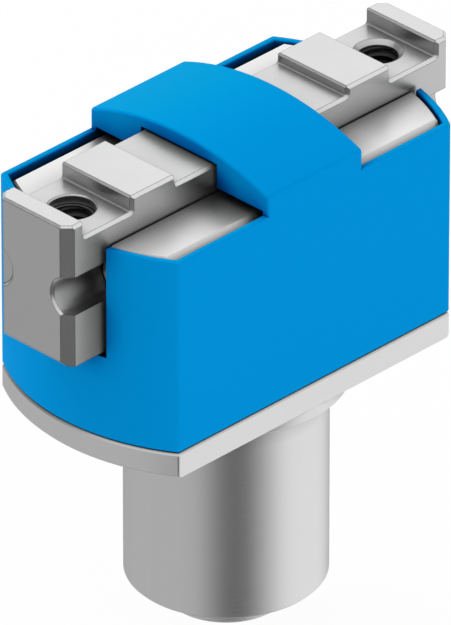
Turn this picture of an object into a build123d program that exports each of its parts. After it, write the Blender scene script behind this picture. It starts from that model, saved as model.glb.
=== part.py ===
from build123d import *

import os
from math import atan2, degrees, hypot, sqrt

# Pneumatic parallel gripper, in millimetres, drawn with its jaws open.
# Z is the cylinder's axis, and X is the jaws' travel.
# The origin is on the axis, in the shoulder plane where the clamping spigot meets its boss.

# Mounting end of the housing
spigot_radius = 7.5
spigot_length = 16.3
spigot_edge = 0.15
boss_height = 1.0
boss_edge = 0.15
plate_radius = 16.5
plate_half_width = 9.0
plate_thickness = 2.0
plate_corner = 0.25
plate_edge = 0.16
plate_under_edge = 0.2

# Cylinder bore in the spigot
bore_radius = 6.0
cap_bore_radius = 6.4
cap_bore_depth = 3.8
ring_groove_radius = 6.75
ring_groove_height = 0.7
ring_groove_inset = 0.5

# End cap with the air port
stub_radius = 4.65
stub_length = 2.2
stub_edge = 0.2
port_radius = 2.5
port_depth = 4.6
air_passage_radius = 1.0
cap_seal_groove_depth = 0.9
cap_seal_groove_height = 1.0
cap_seal_cord_radius = 0.4
buffer_outer_radius = 5.0
buffer_inner_radius = 2.8
buffer_recess = 0.3
buffer_proud = 0.5

# Retaining ring of the end cap
ring_thickness = 0.6
ring_inner_radius = 5.0
ring_gap_width = 3.0
ring_eye_radius = 0.45

# Piston, its seals and its rod
piston_height = 3.5
piston_stroke = 4.0
piston_edge = 0.2
piston_seal_inner_radius = 4.9
piston_seal_height = 1.3
piston_seal_level = 1.6
piston_band_inner_radius = 5.5
piston_band_height = 0.8
piston_band_level = 0.4
rod_radius = 2.0
rod_stud_radius = 1.25
rod_stud_length = 2.0
bush_outer_radius = 3.0
piston_screw_radius = 1.25
piston_screw_length = 5.5
piston_screw_head_radius = 2.25
piston_screw_head_height = 1.4
piston_screw_socket = 1.5
piston_screw_socket_depth = 0.9

# Return spring round the rod
spring_radius = 4.6
spring_wire_radius = 0.3
spring_turns = 5.25

# Wedge plate that drives the jaws
wedge_thickness = 2.5
wedge_wall = 1.1
wedge_hub_radius = 2.6
wedge_hub_height = 2.4
wedge_neck_half_width = 2.2
wedge_lift_at_rest = 0.5
wedge_edge = 0.3

# Jaws, where x runs from the middle to the tip
jaw_half_width = 3.62
jaw_height = 11.55
jaw_length = 16.3
jaw_stroke = 3.0
jaw_closed_half_gap = 0.3
lip_width = 1.75
pocket_width = 4.7
pocket_depth = 1.25
raised_width = 4.45
step_depth = 0.75
leg_corner = 0.75
leg_bottom_edge = 0.4
jaw_long_edge = 0.25
jaw_cross_edge = 0.16
jaw_foot_radius = 0.15
finger_hole_offset = 4.05
finger_hole_radius = 1.5
finger_hole_depth = 6.5
finger_counterbore_radius = 1.725
finger_counterbore_depth = 0.75
finger_counterbore_edge = 0.12
finger_countersink = 0.35
groove_mouth = 0.2
groove_end_wall = 1.2

# Drive pins, rollers and guide rods
drive_pin_radius = 1.0
drive_pin_inset = 0.12
drive_pin_offset = 2.3
drive_pin_height = 2.8
roller_radius = 1.5
guide_rod_radius = 1.5
guide_rod_height = 5.8
guide_rod_edge = 0.2

# Guide block
block_below_jaw_top = 3.0
block_long_edge = 0.67
block_end_edge = 0.15

# Cover
cover_wall = 0.55
cover_block_gap = 0.15
cover_corner = 0.32
cover_foot_edge = 0.22
rim_below_jaw_top = 2.9
rim_edge = 0.15
bridge_half_length = 4.8
bridge_arch_radius = 24.0
bridge_roof = 1.12
bridge_edge = 0.25
bridge_shoulder_edge = 0.35
lug_length = 5.0
lug_height = 0.8
lug_grip = 0.3
lug_lift = 2.0
lug_pitch = 15.0

# Fasteners between housing and guide block
block_screw_pitch_x = 23.6
block_screw_pitch_y = 9.0
block_screw_radius = 1.25
block_screw_length = 6.0
block_screw_head_radius = 2.3
block_screw_head_rim = 0.15
block_screw_socket = 1.5
block_screw_socket_depth = 0.8
locating_pin_pitch = 25.2
locating_pin_radius = 1.0
locating_pin_in_plate = 1.0
locating_pin_in_block = 4.0

# Clearances
static_gap = 0.02
running_gap = 0.05
screw_gap = 0.15
hole_end_gap = 0.5
jaw_side_gap = 0.13
jaw_floor_gap = 0.3
jaw_slot_gap = 0.3
leg_slot_gap = 0.4
bridge_block_gap = 0.4
bridge_side_gap = 0.2
bridge_top_gap = 0.1
wedge_top_gap = 0.3
wedge_side_gap = 0.1
chamber_gap = 0.3
lug_gap = 0.1

# Levels of the housing and the cylinder, worked out
spigot_bottom = -spigot_length
stub_bottom = spigot_bottom - stub_length
cap_seat = spigot_bottom + cap_bore_depth
boss_radius = plate_half_width
plate_bottom = boss_height
plate_top = plate_bottom + plate_thickness
piston_bottom = cap_seat + buffer_proud
piston_top = piston_bottom + piston_height

# Levels of the wedge and the jaws
hub_bottom = plate_top + wedge_lift_at_rest
hub_top = hub_bottom + wedge_hub_height
jaw_bottom = hub_top + piston_stroke + wedge_top_gap
jaw_top = jaw_bottom + jaw_height
pocket_floor = jaw_top - pocket_depth
step_top = jaw_top - step_depth
channel_floor = jaw_bottom - jaw_floor_gap
pin_level = jaw_bottom + drive_pin_height
rod_level = jaw_bottom + guide_rod_height

# Places along the right jaw when it is open
jaw_inner_end = jaw_closed_half_gap + jaw_stroke
jaw_tip = jaw_inner_end + jaw_length
lip_inside = jaw_tip - lip_width
raised_outside = lip_inside - pocket_width
raised_inside = raised_outside - raised_width
finger_hole_x = jaw_tip - finger_hole_offset
pin_x = jaw_inner_end + drive_pin_offset

# The wedge's slots run from the open pin place down to the closed one
slot_half_width = roller_radius + running_gap
slot_run = hypot(jaw_stroke, piston_stroke)
slot_tilt = degrees(atan2(piston_stroke, jaw_stroke))
wedge_low_half = pin_x - jaw_stroke + slot_half_width + wedge_wall
wedge_high_half = pin_x + slot_half_width + wedge_wall
wedge_low = pin_level - piston_stroke - slot_half_width - wedge_wall
wedge_top = pin_level + slot_half_width + wedge_wall
fork_top = wedge_top + piston_stroke + wedge_top_gap
fork_end = wedge_high_half + jaw_stroke + wedge_top_gap
fork_half_gap = wedge_thickness / 2 + wedge_side_gap

# The cover is flush with the plate, and the guide block stands inside it
cavity_radius = plate_radius - cover_wall
cavity_half_width = plate_half_width - cover_wall
block_radius = cavity_radius - cover_block_gap
block_half_width = cavity_half_width - cover_block_gap
channel_half_width = jaw_half_width + jaw_side_gap
rim_top = jaw_top - rim_below_jaw_top
block_top = jaw_top - block_below_jaw_top
bridge_underside = block_top + bridge_block_gap
bridge_passage = jaw_half_width + bridge_side_gap
bridge_ceiling = step_top + bridge_top_gap
bridge_crest = bridge_ceiling + bridge_roof
bridge_shoulder = bridge_crest - bridge_arch_radius + sqrt(bridge_arch_radius**2 - plate_half_width**2)
guide_rod_reach = sqrt(block_radius**2 - (jaw_half_width + guide_rod_radius) ** 2) - guide_rod_edge
groove_half_width = guide_rod_radius + running_gap
lug_reach = cover_block_gap + lug_grip


def draw_plan(radius, half_width):
    """Draw the gripper's plan in the open sketch: a circle cut by two flats."""
    Circle(radius)
    Rectangle(2 * radius, 2 * half_width, mode=Mode.INTERSECT)


def draw_outline(points):
    """Fill the closed outline through the points in the open sketch."""
    Polygon(*points, align=None)


def draw_edge_cut(radius, level, depth, side):
    """Draw the cross-section that bevels a round edge, at the top for side 1 or the bottom for side -1."""
    draw_outline(
        [
            (radius - 2 * depth, level + side * depth),
            (radius + depth, level + side * depth),
            (radius + depth, level - 2 * side * depth),
        ]
    )


def is_outside(edge):
    """Tell whether the bridge's edge lies on its arch or on the outer side of a leg."""
    place = edge.center()
    on_arch = place.Z > bridge_ceiling + static_gap
    on_leg = abs(place.Y) > cavity_half_width + static_gap and place.Z > jaw_bottom + static_gap
    return on_arch or on_leg


def save(builder, name):
    """Label the finished piece and write it as its own file."""
    builder.part.label = name
    export_step(builder.part, f"parts/{name}.step")


# Housing: spigot barrel, boss and plate in one piece of metal
ring_groove_low = spigot_bottom + ring_groove_inset
ring_groove_high = ring_groove_low + ring_groove_height
screw_head_depth = block_screw_head_radius - block_screw_radius + block_screw_head_rim
with BuildPart() as housing:
    with BuildSketch(Plane.XZ):
        draw_outline(
            [
                (cap_bore_radius, spigot_bottom),
                (spigot_radius - spigot_edge, spigot_bottom),
                (spigot_radius, spigot_bottom + spigot_edge),
                (spigot_radius, 0),
                (boss_radius - boss_edge, 0),
                (boss_radius, boss_edge),
                (boss_radius, plate_bottom),
                (0, plate_bottom),
                (0, 0),
                (bore_radius, 0),
                (bore_radius, cap_seat),
                (cap_bore_radius, cap_seat),
                (cap_bore_radius, ring_groove_high),
                (ring_groove_radius, ring_groove_high),
                (ring_groove_radius, ring_groove_low),
                (cap_bore_radius, ring_groove_low),
            ]
        )
    revolve(axis=Axis.Z)
    with BuildSketch(Plane.XY.offset(plate_bottom)):
        draw_plan(plate_radius, plate_half_width)
    plate = extrude(amount=plate_thickness)
    fillet(plate.edges().filter_by(Axis.Z), plate_corner)
    chamfer(housing.faces().sort_by(Axis.Z)[-1].outer_wire().edges(), plate_edge)
    with BuildSketch(Plane.XZ):
        draw_edge_cut(plate_radius, plate_bottom, plate_under_edge, -1)
    revolve(axis=Axis.Z, mode=Mode.SUBTRACT)
    with BuildSketch():
        Circle(bush_outer_radius + static_gap)
    extrude(amount=plate_top, mode=Mode.SUBTRACT)
    with BuildSketch(Plane.XY.offset(plate_bottom)):
        with GridLocations(block_screw_pitch_x, block_screw_pitch_y, 2, 2):
            Circle(block_screw_radius + screw_gap)
    extrude(amount=plate_thickness, mode=Mode.SUBTRACT)
    with BuildSketch(Plane.XY.offset(plate_bottom)):
        with GridLocations(block_screw_pitch_x, block_screw_pitch_y, 2, 2):
            Circle(block_screw_head_radius + screw_gap + block_screw_head_rim)
    extrude(amount=screw_head_depth + screw_gap, taper=45, mode=Mode.SUBTRACT)
    with BuildSketch(Plane.XY.offset(plate_top)):
        with GridLocations(locating_pin_pitch, 0, 2, 1):
            Circle(locating_pin_radius + static_gap)
    extrude(amount=-locating_pin_in_plate, mode=Mode.SUBTRACT)
save(housing, "housing")

# End cap: flange in the bore, stub below it, air port up its middle
cap_flange_radius = cap_bore_radius - running_gap
cap_groove_radius = cap_flange_radius - cap_seal_groove_depth
cap_groove_low = (ring_groove_high + cap_seat - cap_seal_groove_height) / 2
cap_groove_high = cap_groove_low + cap_seal_groove_height
with BuildPart() as end_cap:
    with BuildSketch(Plane.XZ):
        draw_outline(
            [
                (port_radius, stub_bottom),
                (stub_radius - stub_edge, stub_bottom),
                (stub_radius, stub_bottom + stub_edge),
                (stub_radius, ring_groove_high),
                (cap_flange_radius, ring_groove_high),
                (cap_flange_radius, cap_groove_low),
                (cap_groove_radius, cap_groove_low),
                (cap_groove_radius, cap_groove_high),
                (cap_flange_radius, cap_groove_high),
                (cap_flange_radius, cap_seat),
                (buffer_outer_radius + static_gap, cap_seat),
                (buffer_outer_radius + static_gap, cap_seat - buffer_recess),
                (buffer_inner_radius - static_gap, cap_seat - buffer_recess),
                (buffer_inner_radius - static_gap, cap_seat),
                (air_passage_radius, cap_seat),
                (air_passage_radius, stub_bottom + port_depth),
                (port_radius, stub_bottom + port_depth),
            ]
        )
    revolve(axis=Axis.Z)
save(end_cap, "end_cap")

with BuildPart() as end_cap_seal:
    with BuildSketch(Plane.XZ):
        with Locations((cap_groove_radius + cap_seal_cord_radius + static_gap, (cap_groove_low + cap_groove_high) / 2)):
            Circle(cap_seal_cord_radius)
    revolve(axis=Axis.Z)
save(end_cap_seal, "end_cap_seal")

# Retaining ring: a flat ring, open on one side between two eyes
ring_outer_radius = ring_groove_radius - running_gap
ring_eye_place = (ring_inner_radius + ring_outer_radius) / 2
with BuildPart() as retaining_ring:
    with BuildSketch(Plane.XY.offset(ring_groove_high - ring_thickness)):
        Circle(ring_outer_radius)
        Circle(ring_inner_radius, mode=Mode.SUBTRACT)
        with Locations((0, -ring_outer_radius)):
            Rectangle(ring_gap_width, 2 * ring_outer_radius, mode=Mode.SUBTRACT)
        eye_turn = degrees(atan2(ring_gap_width, ring_eye_place))
        with PolarLocations(ring_eye_place, 2, start_angle=-90 - eye_turn, angular_range=2 * eye_turn, endpoint=True):
            Circle(ring_eye_radius, mode=Mode.SUBTRACT)
    extrude(amount=ring_thickness)
save(retaining_ring, "retaining_ring")

with BuildPart() as piston_buffer:
    with BuildSketch(Plane.XY.offset(cap_seat - buffer_recess)):
        Circle(buffer_outer_radius)
        Circle(buffer_inner_radius, mode=Mode.SUBTRACT)
    extrude(amount=buffer_recess + buffer_proud)
    chamfer(piston_buffer.faces().sort_by(Axis.Z)[-1].edges(), piston_edge)
save(piston_buffer, "piston_buffer")

# Piston, with one groove for the seal and one for the guide band
piston_radius = bore_radius - 2 * running_gap
seal_low = piston_bottom + piston_seal_level
seal_high = seal_low + piston_seal_height
band_low = piston_bottom + piston_band_level
band_high = band_low + piston_band_height
screw_seat = piston_bottom + piston_screw_head_height + screw_gap
with BuildPart() as piston:
    with BuildSketch(Plane.XY.offset(piston_bottom)):
        Circle(piston_radius)
    extrude(amount=piston_height)
    chamfer(piston.edges(), piston_edge)
    for low, high, inner in (
        (seal_low, seal_high, piston_seal_inner_radius),
        (band_low, band_high, piston_band_inner_radius),
    ):
        with BuildSketch(Plane.XY.offset(low)):
            Circle(bore_radius)
            Circle(inner, mode=Mode.SUBTRACT)
        extrude(amount=high - low, mode=Mode.SUBTRACT)
    with BuildSketch(Plane.XY.offset(piston_bottom)):
        Circle(piston_screw_radius + screw_gap)
    extrude(amount=piston_height, mode=Mode.SUBTRACT)
    with BuildSketch(Plane.XY.offset(piston_bottom)):
        Circle(piston_screw_head_radius + screw_gap)
    extrude(amount=screw_seat - piston_bottom, mode=Mode.SUBTRACT)
save(piston, "piston")

# Piston seal: a lip seal, hollow on the pressure side below
seal_wall = (bore_radius - piston_seal_inner_radius) / 3
seal_outer_radius = bore_radius - static_gap
with BuildPart() as piston_seal:
    with BuildSketch(Plane.XZ):
        draw_outline(
            [
                (piston_seal_inner_radius + static_gap, seal_low + static_gap),
                (piston_seal_inner_radius + seal_wall, seal_low + static_gap),
                (piston_seal_inner_radius + 1.5 * seal_wall, (seal_low + seal_high) / 2),
                (seal_outer_radius - seal_wall, seal_low + static_gap),
                (seal_outer_radius, seal_low + static_gap),
                (seal_outer_radius - seal_wall / 2, seal_high - static_gap),
                (piston_seal_inner_radius + static_gap, seal_high - static_gap),
            ]
        )
    revolve(axis=Axis.Z)
save(piston_seal, "piston_seal")

with BuildPart() as piston_band:
    with BuildSketch(Plane.XY.offset(band_low + static_gap)):
        Circle(bore_radius - running_gap)
        Circle(piston_band_inner_radius + static_gap, mode=Mode.SUBTRACT)
    extrude(amount=piston_band_height - 2 * static_gap)
save(piston_band, "piston_band")

# Piston rod: runs up through the plate, with a threaded stud for the wedge
rod_thread_depth = piston_screw_length - (piston_top - screw_seat) + hole_end_gap
with BuildPart() as piston_rod:
    with BuildSketch(Plane.XY.offset(piston_top)):
        Circle(rod_radius)
    extrude(amount=hub_bottom - piston_top)
    chamfer(piston_rod.edges(), piston_edge)
    with BuildSketch(Plane.XY.offset(hub_bottom)):
        Circle(rod_stud_radius)
    extrude(amount=rod_stud_length)
    with BuildSketch(Plane.XY.offset(piston_top)):
        Circle(piston_screw_radius + static_gap)
    extrude(amount=rod_thread_depth, mode=Mode.SUBTRACT)
save(piston_rod, "piston_rod")

with BuildPart() as piston_screw:
    with BuildSketch(Plane.XY.offset(screw_seat - piston_screw_head_height)):
        Circle(piston_screw_head_radius)
    extrude(amount=piston_screw_head_height)
    with BuildSketch(Plane.XY.offset(screw_seat)):
        Circle(piston_screw_radius)
    extrude(amount=piston_screw_length)
    with BuildSketch(Plane.XY.offset(screw_seat - piston_screw_head_height)):
        RegularPolygon(piston_screw_socket / 2, 6, major_radius=False)
    extrude(amount=piston_screw_socket_depth, mode=Mode.SUBTRACT)
save(piston_screw, "piston_screw")

with BuildPart() as rod_bush:
    with BuildSketch():
        Circle(bush_outer_radius)
        Circle(rod_radius + running_gap, mode=Mode.SUBTRACT)
    extrude(amount=plate_top)
save(rod_bush, "rod_bush")

# Return spring: a helix between the piston and the roof of the bore, its ends ground flat
spring_height = -piston_top
with BuildPart() as return_spring:
    with BuildLine(Plane.XY.offset(piston_top)) as coil:
        Helix(pitch=spring_height / spring_turns, height=spring_height, radius=spring_radius)
    with BuildSketch(Plane(origin=coil.line @ 0, z_dir=coil.line % 0)):
        Circle(spring_wire_radius)
    sweep(path=coil.line, is_frenet=True)
    split(bisect_by=Plane.XY.offset(piston_top), keep=Keep.TOP)
    split(bisect_by=Plane.XY, keep=Keep.BOTTOM)
save(return_spring, "return_spring")

# Wedge: a plate with two slanted slots above a round threaded hub
with BuildPart() as wedge:
    with BuildSketch(Plane.XZ):
        draw_outline(
            [
                (-wedge_low_half, wedge_low),
                (wedge_low_half, wedge_low),
                (wedge_low_half, pin_level - piston_stroke),
                (wedge_high_half, pin_level),
                (wedge_high_half, wedge_top),
                (-wedge_high_half, wedge_top),
                (-wedge_high_half, pin_level),
                (-wedge_low_half, pin_level - piston_stroke),
            ]
        )
        with Locations((0, (hub_bottom + wedge_low) / 2)):
            Rectangle(2 * wedge_neck_half_width, wedge_low - hub_bottom)
        for side in (1, -1):
            with Locations((side * (pin_x - jaw_stroke / 2), pin_level - piston_stroke / 2)):
                SlotCenterToCenter(slot_run, 2 * slot_half_width, rotation=side * slot_tilt, mode=Mode.SUBTRACT)
    extrude(amount=wedge_thickness / 2, both=True)
    with BuildSketch(Plane.XY.offset(hub_bottom)):
        Circle(wedge_hub_radius)
    extrude(amount=wedge_hub_height)
    fillet(wedge.edges().filter_by(Axis.Y).group_by(Axis.Z)[-1], wedge_edge)
    with BuildSketch(Plane.XY.offset(hub_bottom)):
        Circle(rod_stud_radius + static_gap)
    extrude(amount=rod_stud_length + static_gap, mode=Mode.SUBTRACT)
save(wedge, "wedge")


def draw_jaw_side(overhang):
    """Draw the right jaw's stepped side in the open sketch, with its ends and foot moved out by the overhang."""
    draw_outline(
        [
            (jaw_inner_end - overhang, jaw_bottom - overhang),
            (jaw_tip + overhang, jaw_bottom - overhang),
            (jaw_tip + overhang, jaw_top),
            (lip_inside, jaw_top),
            (lip_inside, pocket_floor),
            (raised_outside, pocket_floor),
            (raised_outside, jaw_top),
            (raised_inside, jaw_top),
            (raised_inside, step_top),
            (jaw_inner_end - overhang, step_top),
        ]
    )


def find_jaw_feet(side):
    """Find the three inner corners where the steps of the jaw's side rise."""
    pocket_feet = side.vertices().filter_by_position(Axis.Y, pocket_floor - static_gap, pocket_floor + static_gap)
    step_corners = side.vertices().filter_by_position(Axis.Y, step_top - static_gap, step_top + static_gap)
    return pocket_feet + step_corners.sort_by(Axis.X)[-1:]


def build_jaw_bounds():
    """Build the stepped block that gives the right jaw the bevel along its sides."""
    with BuildPart() as bounds:
        with BuildSketch(Plane.XZ) as side:
            draw_jaw_side(2 * jaw_long_edge)
            fillet(find_jaw_feet(side), jaw_foot_radius)
        extrude(amount=jaw_half_width - jaw_long_edge)
        extrude(bounds.faces().sort_by(Axis.Y)[0], amount=jaw_long_edge, taper=45)
        mirror(about=Plane.XZ)
    return bounds


def build_jaw(hole_mouth):
    """Build a jaw in the right one's place: a stepped bar with a forked inner end and a leg at its tip.

    The hole's mouth is a row of cuts, each with its radius, depth and taper.
    """
    bounds = build_jaw_bounds()
    with BuildPart() as jaw:
        with BuildSketch(Plane.XZ) as side:
            draw_jaw_side(0)
            fillet(find_jaw_feet(side), jaw_foot_radius)
            tops = side.vertices().filter_by_position(Axis.Y, jaw_top - static_gap, jaw_top + static_gap)
            chamfer(tops.sort_by(Axis.X)[:-1], jaw_cross_edge)
        extrude(amount=jaw_half_width, both=True)
        chamfer(jaw.faces().sort_by(Axis.X)[-1].edges().filter_by(Axis.Z), leg_corner)
        chamfer(jaw.faces().sort_by(Axis.X)[-1].edges().sort_by(Axis.Z)[0], leg_bottom_edge)
        top_edges = jaw.edges().filter_by_position(Axis.Z, jaw_top - static_gap, jaw_top + static_gap)
        chamfer(top_edges.filter_by_position(Axis.X, jaw_tip - leg_corner, jaw_tip + static_gap), jaw_cross_edge)
        add(bounds.part, mode=Mode.INTERSECT)
        with BuildSketch(Plane.XY.offset(pocket_floor)):
            with Locations((finger_hole_x, 0)):
                Circle(finger_hole_radius)
        extrude(amount=-finger_hole_depth, mode=Mode.SUBTRACT)
        for radius, depth, taper in hole_mouth:
            with BuildSketch(Plane.XY.offset(pocket_floor)):
                with Locations((finger_hole_x, 0)):
                    Circle(radius)
            extrude(amount=-depth, taper=taper, mode=Mode.SUBTRACT)
        for y, reach in ((jaw_half_width, jaw_tip - groove_end_wall), (-jaw_half_width, jaw_tip)):
            with BuildSketch(Plane.YZ):
                with Locations((y, rod_level)):
                    Circle(groove_half_width)
            extrude(amount=reach, mode=Mode.SUBTRACT)
        with BuildSketch(Plane.YZ.offset(jaw_tip)):
            for y in (jaw_half_width, -jaw_half_width):
                with Locations((y, rod_level)):
                    Circle(groove_half_width + groove_mouth)
        extrude(amount=-groove_mouth, taper=45, mode=Mode.SUBTRACT)
        with BuildSketch(Plane.XZ):
            with Locations(((jaw_inner_end + fork_end) / 2, (jaw_bottom + fork_top) / 2)):
                Rectangle(fork_end - jaw_inner_end, fork_top - jaw_bottom)
        extrude(amount=fork_half_gap, both=True, mode=Mode.SUBTRACT)
        with BuildSketch(Plane.XZ):
            with Locations((pin_x, pin_level)):
                Circle(drive_pin_radius + static_gap)
        extrude(amount=jaw_half_width, both=True, mode=Mode.SUBTRACT)
    return jaw


def build_drive_pin():
    """Build a drive pin, pressed across the fork of the right jaw."""
    with BuildPart() as pin:
        with BuildSketch(Plane.XZ):
            with Locations((pin_x, pin_level)):
                Circle(drive_pin_radius)
        extrude(amount=jaw_half_width - drive_pin_inset, both=True)
        chamfer(pin.edges(), piston_edge)
    return pin


def build_roller():
    """Build the roller of the right drive pin, which runs in the wedge's slot."""
    with BuildPart() as roller:
        with BuildSketch(Plane.XZ):
            with Locations((pin_x, pin_level)):
                Circle(roller_radius)
                Circle(drive_pin_radius + static_gap, mode=Mode.SUBTRACT)
        extrude(amount=wedge_thickness / 2, both=True)
    return roller


# The right jaw's finger hole is countersunk and the left one's is counterbored
countersunk_mouth = [(finger_hole_radius + finger_countersink, finger_countersink, 45)]
counterbored_mouth = [
    (finger_counterbore_radius, finger_counterbore_depth, 0),
    (finger_counterbore_radius + finger_counterbore_edge, finger_counterbore_edge, 45),
]
for piece_name, right_piece, twin in (
    ("jaw", build_jaw(countersunk_mouth), build_jaw(counterbored_mouth)),
    ("drive_pin", build_drive_pin(), build_drive_pin()),
    ("roller", build_roller(), build_roller()),
):
    save(right_piece, f"right_{piece_name}")
    with BuildPart() as left_piece:
        mirror(twin.part, about=Plane.YZ)
    save(left_piece, f"left_{piece_name}")

# Guide block: the jaws' channel, the wedge's chamber and the guide rods' grooves
with BuildPart() as guide_block:
    with BuildSketch(Plane.XY.offset(plate_top)):
        draw_plan(block_radius, block_half_width)
    extrude(amount=block_top - plate_top)
    with BuildSketch(Plane.YZ):
        draw_outline(
            [
                (-block_half_width, plate_top),
                (block_half_width, plate_top),
                (block_half_width, block_top - block_long_edge),
                (block_half_width - block_long_edge, block_top),
                (block_long_edge - block_half_width, block_top),
                (-block_half_width, block_top - block_long_edge),
            ]
        )
    extrude(amount=block_radius, both=True, mode=Mode.INTERSECT)
    with BuildSketch(Plane.XZ):
        draw_edge_cut(block_radius, block_top, block_end_edge, 1)
    revolve(axis=Axis.Z, mode=Mode.SUBTRACT)
    with BuildSketch(Plane.YZ):
        with Locations((0, (channel_floor + block_top) / 2)):
            Rectangle(2 * channel_half_width, block_top - channel_floor)
        for side in (1, -1):
            with Locations((side * jaw_half_width, rod_level)):
                Circle(guide_rod_radius + static_gap)
    extrude(amount=block_radius, both=True, mode=Mode.SUBTRACT)
    with BuildSketch(Plane.XY.offset(plate_top)):
        Circle(wedge_hub_radius + chamber_gap)
        Rectangle(2 * (wedge_high_half + chamber_gap), wedge_thickness + 2 * chamber_gap)
    extrude(amount=channel_floor - plate_top, mode=Mode.SUBTRACT)
    with BuildSketch(Plane.XY.offset(plate_top)):
        with GridLocations(block_screw_pitch_x, block_screw_pitch_y, 2, 2):
            Circle(block_screw_radius + static_gap)
    extrude(amount=block_screw_length - plate_thickness + hole_end_gap, mode=Mode.SUBTRACT)
    with BuildSketch(Plane.XY.offset(plate_top)):
        with GridLocations(locating_pin_pitch, 0, 2, 1):
            Circle(locating_pin_radius + static_gap)
    extrude(amount=locating_pin_in_block, mode=Mode.SUBTRACT)
    for side in (1, -1):
        with BuildSketch(Plane.XY.offset(plate_top + lug_lift - lug_gap)):
            with Locations((0, side * block_half_width)):
                with GridLocations(lug_pitch, 0, 2, 1):
                    Rectangle(lug_length + 2 * lug_gap, 2 * (lug_grip + lug_gap))
        extrude(amount=lug_height + 2 * lug_gap, mode=Mode.SUBTRACT)
save(guide_block, "guide_block")

# Guide rods: one in the groove on each side of the jaws
for side, rod_name in ((1, "rear_guide_rod"), (-1, "front_guide_rod")):
    with BuildPart() as guide_rod:
        with BuildSketch(Plane.YZ):
            with Locations((side * jaw_half_width, rod_level)):
                Circle(guide_rod_radius)
        extrude(amount=guide_rod_reach, both=True)
        chamfer(guide_rod.edges(), guide_rod_edge)
    save(guide_rod, rod_name)

# Bridge of the cover: an arch on two thin legs, open over the block and the jaws
with BuildPart() as bridge:
    with BuildSketch(Plane.YZ):
        with BuildLine():
            ThreePointArc(
                (plate_half_width, bridge_shoulder), (0, bridge_crest), (-plate_half_width, bridge_shoulder)
            )
            Polyline(
                (-plate_half_width, bridge_shoulder),
                (-plate_half_width, jaw_bottom),
                (-cavity_half_width, jaw_bottom),
                (-cavity_half_width, bridge_underside),
                (-bridge_passage, bridge_underside),
                (-bridge_passage, bridge_ceiling),
                (bridge_passage, bridge_ceiling),
                (bridge_passage, bridge_underside),
                (cavity_half_width, bridge_underside),
                (cavity_half_width, jaw_bottom),
                (plate_half_width, jaw_bottom),
                (plate_half_width, bridge_shoulder),
            )
        make_face()
    extrude(amount=bridge_half_length, both=True)
    fillet(bridge.edges().filter_by(Axis.X).filter_by(is_outside), bridge_shoulder_edge)
    fillet(bridge.faces().filter_by(Axis.X).edges().filter_by(is_outside), bridge_edge)

# Cover: a shell round the guide block that carries the bridge
with BuildPart() as cover:
    with BuildSketch(Plane.XY.offset(plate_top)):
        draw_plan(plate_radius, plate_half_width)
    extrude(amount=rim_top - plate_top)
    fillet(cover.edges().filter_by(Axis.Z), cover_corner)
    fillet(cover.faces().sort_by(Axis.Z)[-1].edges(), rim_edge)
    chamfer(cover.faces().sort_by(Axis.Z)[0].edges(), cover_foot_edge)
    with BuildSketch(Plane.XY.offset(plate_top)):
        draw_plan(cavity_radius, cavity_half_width)
    extrude(amount=rim_top - plate_top, mode=Mode.SUBTRACT)
    fillet(cover.faces().sort_by(Axis.Z)[-1].inner_wires().edges(), rim_edge)
    add(bridge.part)
    with BuildSketch(Plane.YZ):
        with Locations((0, (jaw_bottom - leg_slot_gap + rim_top) / 2)):
            Rectangle(2 * (jaw_half_width + jaw_slot_gap), rim_top - jaw_bottom + leg_slot_gap)
    extrude(amount=plate_radius, both=True, mode=Mode.SUBTRACT)
    for side in (1, -1):
        with BuildSketch(Plane.XY.offset(plate_top + lug_lift)):
            with Locations((0, side * (cavity_half_width - lug_reach / 2))):
                with GridLocations(lug_pitch, 0, 2, 1):
                    Rectangle(lug_length, lug_reach)
        extrude(amount=lug_height)
save(cover, "cover")

# Countersunk screws that pull the guide block down on the plate, driven from below
with BuildPart() as block_screws:
    for level, radius, length, taper in (
        (plate_bottom, block_screw_head_radius, block_screw_head_rim, 0),
        (plate_bottom + block_screw_head_rim, block_screw_head_radius, block_screw_head_radius - block_screw_radius, 45),
        (plate_bottom, block_screw_radius, block_screw_length, 0),
    ):
        with BuildSketch(Plane.XY.offset(level)):
            with GridLocations(block_screw_pitch_x, block_screw_pitch_y, 2, 2):
                Circle(radius)
        extrude(amount=length, taper=taper)
    with BuildSketch(Plane.XY.offset(plate_bottom)):
        with GridLocations(block_screw_pitch_x, block_screw_pitch_y, 2, 2):
            RegularPolygon(block_screw_socket / 2, 6, major_radius=False)
    extrude(amount=block_screw_socket_depth, mode=Mode.SUBTRACT)
save(block_screws, "block_screws")

with BuildPart() as locating_pins:
    with BuildSketch(Plane.XY.offset(plate_top - locating_pin_in_plate)):
        with GridLocations(locating_pin_pitch, 0, 2, 1):
            Circle(locating_pin_radius)
    extrude(amount=locating_pin_in_plate + locating_pin_in_block)
    chamfer(locating_pins.edges(), piston_edge)
save(locating_pins, "locating_pins")
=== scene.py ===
"""Pneumatic parallel gripper, dressed: finishes, fine detail, studio and camera round its fixed frame."""

import logging
import math
from dataclasses import dataclass
from enum import Enum

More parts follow.
